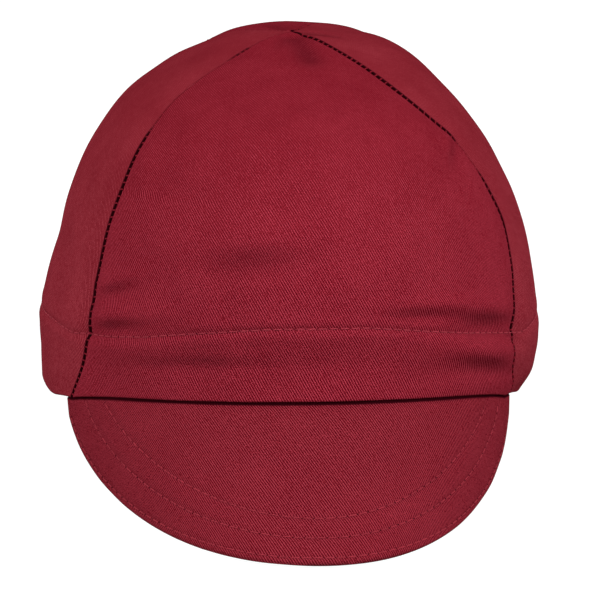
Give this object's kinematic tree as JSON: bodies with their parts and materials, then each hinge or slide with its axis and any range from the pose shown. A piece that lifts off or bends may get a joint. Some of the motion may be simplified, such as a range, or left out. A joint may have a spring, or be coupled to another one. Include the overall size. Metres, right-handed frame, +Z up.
{
  "type": "four panel cap",
  "caption": "Soft panelled cloth cap with a short down-turned peak and a turned-in sweatband, open below for the head.",
  "frame": {"origin": "middle of the cap's bounding box, on the surface that the cap rests on", "axes": "+Z up from the surface, -Y towards the peak, +X towards the wearer's left"},
  "size_m": [0.1748, 0.246, 0.1347],
  "materials": {
    "crown_cloth": "matt cotton twill",
    "band_cloth": "matt cotton twill",
    "peak_cloth": "matt cotton twill"
  },
  "bodies": {
    "root": {"front_panel": "crown_cloth", "left_panel": "crown_cloth", "right_panel": "crown_cloth", "back_panel": "crown_cloth", "sweatband": "band_cloth", "peak_top": "peak_cloth", "peak_under": "peak_cloth"}
  },
  "joints": []
}
